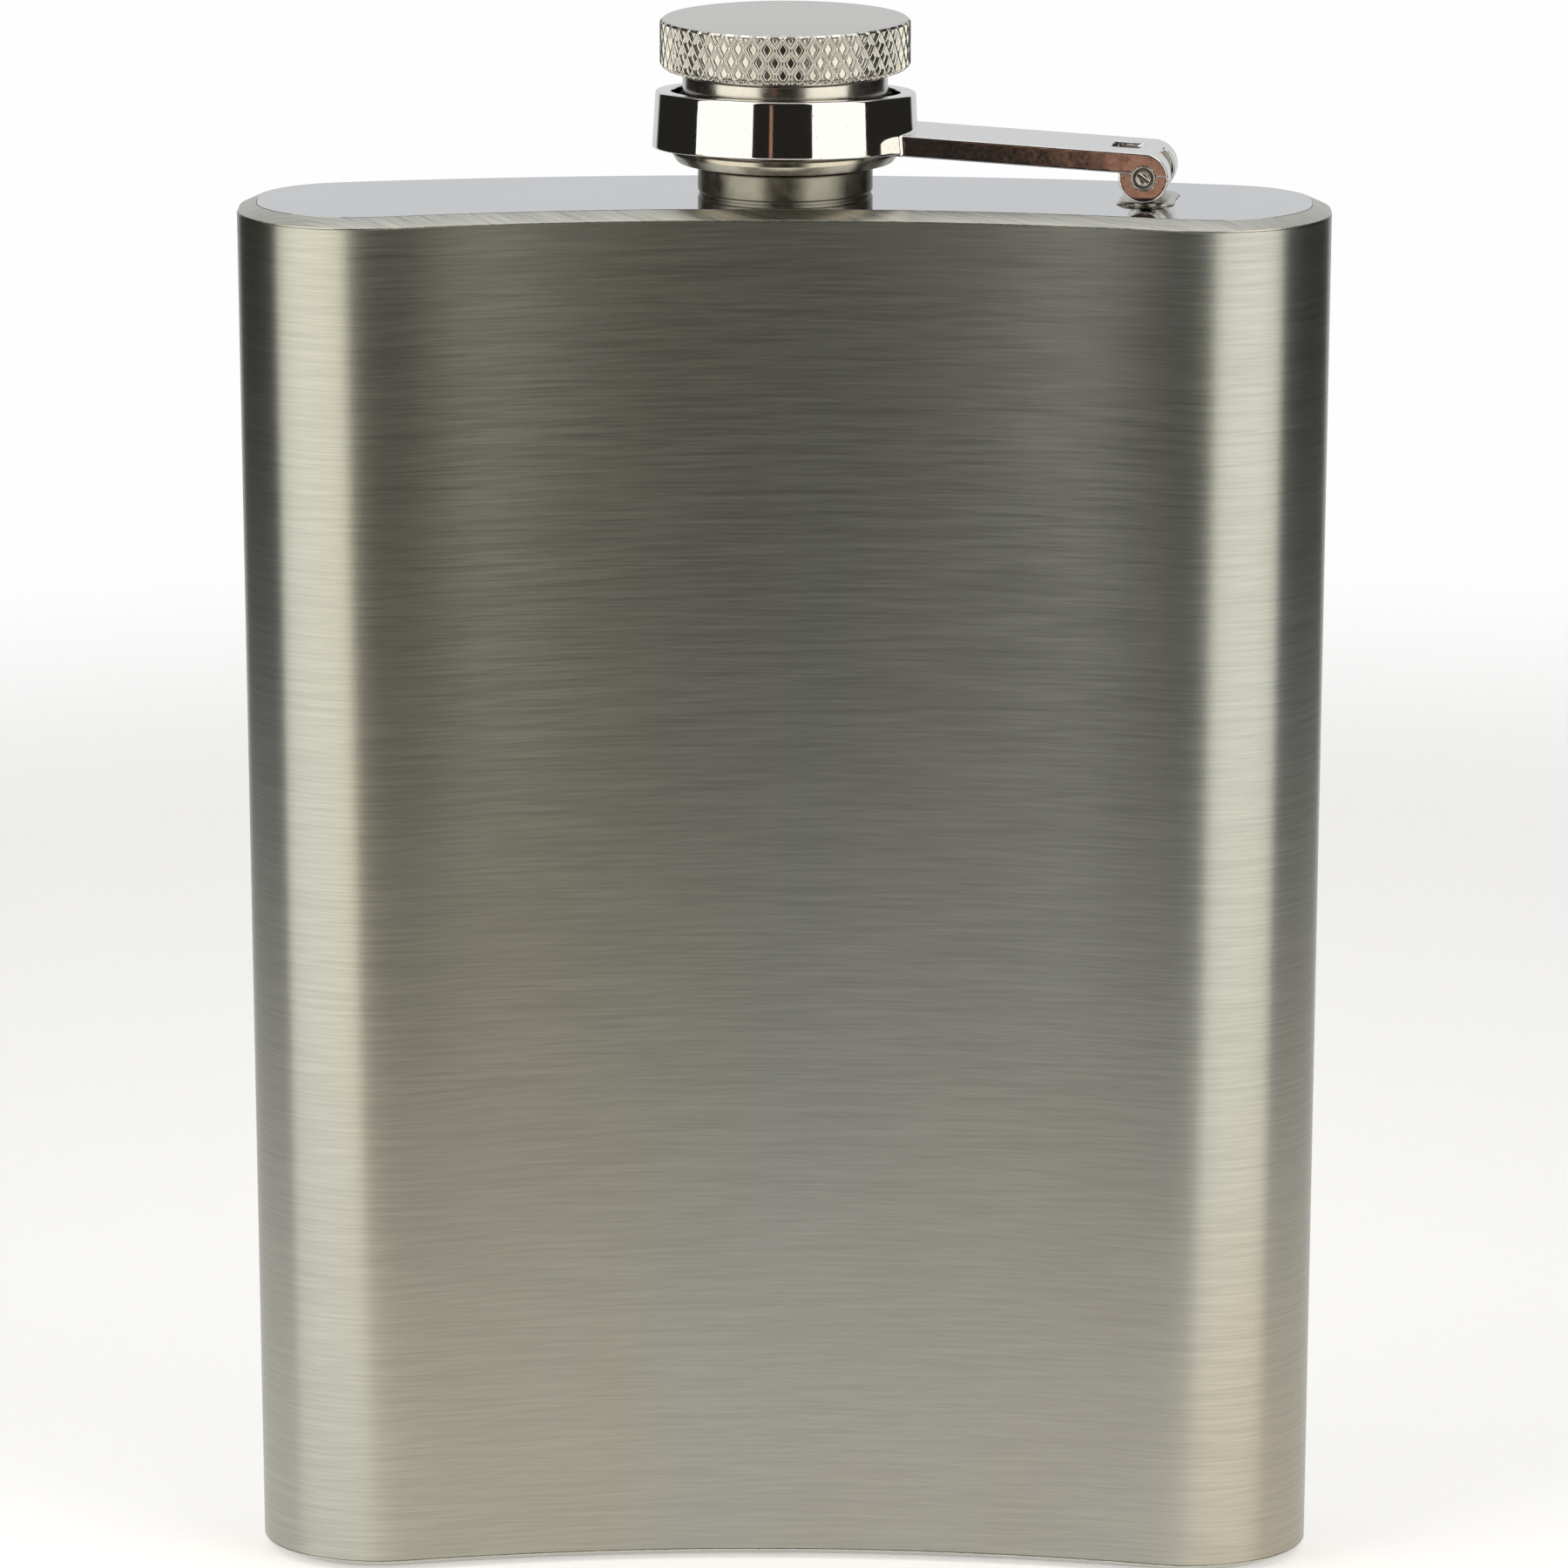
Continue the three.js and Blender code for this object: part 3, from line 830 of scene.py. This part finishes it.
def foot_field(x, y, z):
    """Distance to the foot: a low pad with rounded corners and a sloping weld round it."""
    height = FOOT_HIGH[2] - FOOT_LOW[2]
    rise = (z - FOOT_LOW[2]) / height
    dx = np.abs(x - REACH) - FOOT_HALF_LENGTH + FOOT_SLOPE * rise
    dy = np.abs(y) - FOOT_HALF_WIDTH + FOOT_SLOPE * rise
    pad = round_cut(dx, dy, FOOT_CORNER)
    lump = FOOT_LUMP * np.sin(1.3 * y + 1.1) * np.sin(1.7 * x)
    return round_cut(np.maximum(pad + lump * (1 - rise), FOOT_LOW[2] - z), z - FOOT_HIGH[2], 0.14)


def make_strap(materials):
    outer = RING_TOP_RADIUS + RING_HEIGHT * math.tan(RING_DRAFT) + 0.4
    low = (-outer, -outer, HINGE[2] - BARREL_RADIUS - 0.3)
    high = (REACH + BARREL_RADIUS + 0.3, outer, RING_BASE + RING_HEIGHT + 1.1)
    put_cast("chromed_strap", strap_field, low, high, CAST_STEP,
             materials["chrome"], "strap", ["strap"])

    bottom, top = FOOT_LOW[2], FOOT_HIGH[2]
    low = (REACH - 3, -4.6, bottom - 0.2)
    put_cast("foot_pad", foot_field, low, (REACH + 3, 4.6, top + 0.2), SMALL_CAST_STEP,
             materials["weld"], "flask", ["hinge_foot"])
    low = (REACH - 2.2, -1.8, top - 0.2)
    put_cast("post_eye", post_field, low, (REACH + 2.2, 1.8, HINGE[2] + 2.0), SMALL_CAST_STEP,
             materials["shank"], "flask", ["hinge_post"])
    make_pin(materials)


def with_bar(points, faces, end):
    """Adds the slanted upset bar that stands in the dished front end of the pin."""
    c, s = math.cos(BAR_TURN), math.sin(BAR_TURN)
    first = len(points)
    corners = []
    for rise, shrink in ((BAR_SUNK, 0.0), (BAR_CHAMFER_DEPTH, 0.0), (0.0, BAR_CHAMFER_RUN)):
        for u_side, v_side in ((-1, -1), (1, -1), (1, 1), (-1, 1)):
            u = u_side * (BAR_HALF_LENGTH - shrink)
            v = v_side * (BAR_HALF_WIDTH - shrink)
            corners.append((u * c - v * s, u * s + v * c, end + rise))
    faces = list(faces) + [(first + 8, first + 9, first + 10, first + 11)]
    for low in (0, 4):
        for k in range(4):
            n = (k + 1) % 4
            faces.append((first + low + k, first + low + n, first + low + 4 + n, first + low + 4 + k))
    faces.append((first + 3, first + 2, first + 1, first))
    return np.vstack([points, corners]), faces


def make_pin(materials):
    """Pin with spread, dished ends."""
    half = BARREL_HALF + 0.16
    side = [
        (0, -half + 0.22, 0),
        (0.45, -half + 0.20, 0.3),
        (0.62, -half, 0.08),
        (PIN_RADIUS - 0.02, -half + 0.02, 0.1),
        (PIN_RADIUS, -half + 0.3, 0),
    ]
    start = rounded(side)
    end = [(r, -y) for r, y in start[::-1]]
    points, faces = revolve(start + end, 96)
    points, faces = with_bar(points, faces, -half)
    across = np.column_stack([points[:, 0] + REACH, points[:, 2], HINGE[2] - points[:, 1]])
    put("pin", turn_to_arm(across), faces, materials["pin"], "strap", ["hinge_pin"])


# ---- Studio ----


def make_world():
    """Pale wall behind and above, dark in front, and two narrow reddish shapes for the chrome to mirror.

    It is pale where the camera sees past the flask.
    """
    world = bpy.data.worlds.new("studio")
    world.use_nodes = True
    bpy.context.scene.world = world
    nodes = Nodes(world.node_tree)
    way = nodes.add("ShaderNodeTexCoord").outputs["Generated"]
    x, y, z = nodes.add("ShaderNodeSeparateXYZ", Vector=way).outputs
    towards = nodes.math("MULTIPLY", y, -1.0)
    azimuth = nodes.math("MULTIPLY", nodes.math("ARCTAN2", x, towards), 180 / math.pi)
    elevation = nodes.math("MULTIPLY", nodes.math("ARCSINE", z), 180 / math.pi)

    def window(value, low, high, soft):
        rise = nodes.remap(value, low - soft, low + soft, 0.0, 1.0, smooth=True)
        fall = nodes.remap(value, high - soft, high + soft, 1.0, 0.0, smooth=True)
        return nodes.math("MULTIPLY", rise, fall)

    def light(colour, strength, *masks):
        mask = masks[0]
        for other in masks[1:]:
            mask = nodes.math("MULTIPLY", mask, other)
        return nodes.mix(nodes.math("MULTIPLY", mask, 1.0, clamp=True), (0, 0, 0, 1),
                         tuple(strength * c for c in colour) + (1,))

    side = nodes.math("ABSOLUTE", azimuth)
    beyond, overhead = 400, 100
    back_wall = light(
        (0.97, 0.98, 1.0), 0.70, window(side, 148, beyond, 4.0), window(elevation, -60, 86, 4.0)
    )
    top_light = light(
        (1.0, 1.0, 0.98), 0.45, window(side, 75, beyond, 10.0), window(elevation, 42, overhead, 6.0)
    )
    # Stand-ins for two reddish reflections in the photo, in the arm's front and in the ring.
    arm_glint = light(
        (1.0, 0.52, 0.36), 0.36, window(azimuth, -12.75, -10.0, 0.1), window(elevation, -12, 5, 1.0)
    )
    ring_glint = light(
        (1.0, 0.45, 0.45), 0.16, window(azimuth, -7.6, -5.4, 0.4), window(elevation, -40, -12, 1.0)
    )
    total = DARK
    for one in (back_wall, top_light, arm_glint, ring_glint):
        add = nodes.add("ShaderNodeMix", {"data_type": "RGBA", "blend_type": "LIGHTEN"})
        nodes.set(add, "in 0", 1.0)
        nodes.set(add, "in 6", total)
        nodes.set(add, "in 7", one)
        total = add.outputs[2]
    seen = nodes.add("ShaderNodeLightPath").outputs["Is Camera Ray"]
    colour = nodes.mix(seen, total, SEEN_WHITE)
    background = nodes.add("ShaderNodeBackground", Color=colour)
    output = nodes.add("ShaderNodeOutputWorld")
    nodes.tree.links.new(background.outputs[0], output.inputs[0])


def make_floor():
    """Pale table top with a faint glow of its own, whose edge fades out round the flask."""
    material = bpy.data.materials.new("table")
    material.use_nodes = True
    nodes = Nodes(material.node_tree)
    place = nodes.add("ShaderNodeTexCoord").outputs["Object"]
    length = nodes.add("ShaderNodeVectorMath", {"operation": "LENGTH"})
    nodes.set(length, "in 0", nodes.scaled(place, 1.0, 1.0, 0.0))
    fade = nodes.remap(length.outputs["Value"], *FLOOR_FADE, 0.0, 1.0, smooth=True)
    grain = nodes.noise(place, scale=400.0, detail=2.0)
    colour = nodes.mix(grain, (0.84, 0.84, 0.84, 1), (0.88, 0.88, 0.88, 1))
    paint = nodes.add("ShaderNodeBsdfDiffuse", Color=colour)
    glow = nodes.add("ShaderNodeEmission", Strength=FLOOR_GLOW)
    lit = nodes.add("ShaderNodeAddShader", in_0=paint.outputs[0], in_1=glow.outputs[0])
    clear = nodes.add("ShaderNodeBsdfTransparent")
    mixed = nodes.add("ShaderNodeMixShader", in_0=fade, in_1=lit.outputs[0], in_2=clear.outputs[0])
    output = nodes.add("ShaderNodeOutputMaterial")
    nodes.tree.links.new(mixed.outputs[0], output.inputs[0])
    half = FLOOR_HALF
    corners = [(-half, -half, 0), (half, -half, 0), (half, half, 0), (-half, half, 0)]
    mesh = bpy.data.meshes.new("table")
    mesh.from_pydata(corners, [], [(0, 1, 2, 3)])
    mesh.materials.append(material)
    table = bpy.data.objects.new("table", mesh)
    table.location = FLOOR_PLACE
    bpy.context.scene.collection.objects.link(table)


def soft_box(name, inner, outer):
    """Tall lamp between two (azimuth, distance) points that shines on the flask, hidden from the camera."""
    ends = []
    for azimuth, distance in (inner, outer):
        turn = math.radians(azimuth)
        ends.append(Vector((distance * math.sin(turn), -distance * math.cos(turn), BOX_MIDDLE)))
    across = ends[1] - ends[0]
    middle = (ends[0] + ends[1]) / 2
    up = Vector((0, 0, 1))
    facing = across.cross(up).normalized()
    if facing.dot(middle) < 0:
        facing = -facing
    lamp = bpy.data.lights.new(name, "AREA")
    lamp.shape = "RECTANGLE"
    lamp.size, lamp.size_y = across.length, BOX_TALL
    lamp.energy = BOX_BRIGHTNESS * math.pi * lamp.size * lamp.size_y
    lamp.color = BOX_COLOUR
    box = bpy.data.objects.new(name, lamp)
    side = up.cross(facing)
    turned = Matrix((side, up, facing)).transposed().to_4x4()
    box.matrix_world = Matrix.Translation(middle) @ turned
    box.visible_camera = False
    bpy.context.scene.collection.objects.link(box)


def make_lights():
    """Soft boxes left and right of the camera, and a broad overhead lamp that lights the table."""
    soft_box("left_box", (-27, 0.26), (-81, 0.25))
    soft_box("right_box", (24, 0.26), (74, 0.25))
    lamp = bpy.data.lights.new("overhead", "AREA")
    lamp.shape = "RECTANGLE"
    lamp.size, lamp.size_y = OVERHEAD_SIZE
    lamp.energy = OVERHEAD_WATTS
    lamp.color = (1.0, 0.99, 0.97)
    above = bpy.data.objects.new("overhead", lamp)
    above.location = OVERHEAD_PLACE
    above.visible_camera = False
    bpy.context.scene.collection.objects.link(above)


def make_camera():
    """Long lens, a metre in front of the flask and a little above it."""
    data = bpy.data.cameras.new("camera")
    data.sensor_width = 36.0
    data.lens = CAMERA_LENS
    data.clip_start, data.clip_end = 0.1, 20.0
    camera = bpy.data.objects.new("camera", data)
    camera.location = CAMERA_PLACE
    camera.rotation_euler = (math.radians(90 - CAMERA_DOWN), 0, math.radians(CAMERA_TURN))
    bpy.context.scene.collection.objects.link(camera)
    bpy.context.scene.camera = camera


def main():
    materials = {
        "brushed": brushed_steel("brushed_steel"),
        "ground": ground_steel("ground_steel"),
        "plate": polished_steel("polished_steel"),
        # The neck's nickel is darker than the cap's: painted shade, where the neck sits under the cap and
        # strap.
        "neck": nickel("neck_nickel_painted_shade", (0.34, 0.33, 0.28), 0.34),
        "cap": nickel("cap_nickel", (0.70, 0.685, 0.635), 0.2),
        "shank": nickel("shank_nickel", (0.60, 0.555, 0.47), 0.22),
        "weld": nickel("weld_steel", (0.60, 0.58, 0.53), 0.25),
        "chrome": chrome("chrome"),
        "pin": nickel("pin_steel", (0.62, 0.61, 0.58), 0.25),
        "seal": seal_plastic("seal_plastic"),
    }
    make_body(materials)
    for node, key in (("top_plate", "plate"), ("bottom_plate", "brushed"), ("neck_weld", "weld")):
        frame["nodes"][node].data.materials.clear()
        frame["nodes"][node].data.materials.append(materials[key])
    make_neck(materials)
    make_cap(materials)
    make_strap(materials)
    make_world()
    make_floor()
    make_lights()
    make_camera()
    bpy.context.scene.view_settings.view_transform = "Standard"


main()
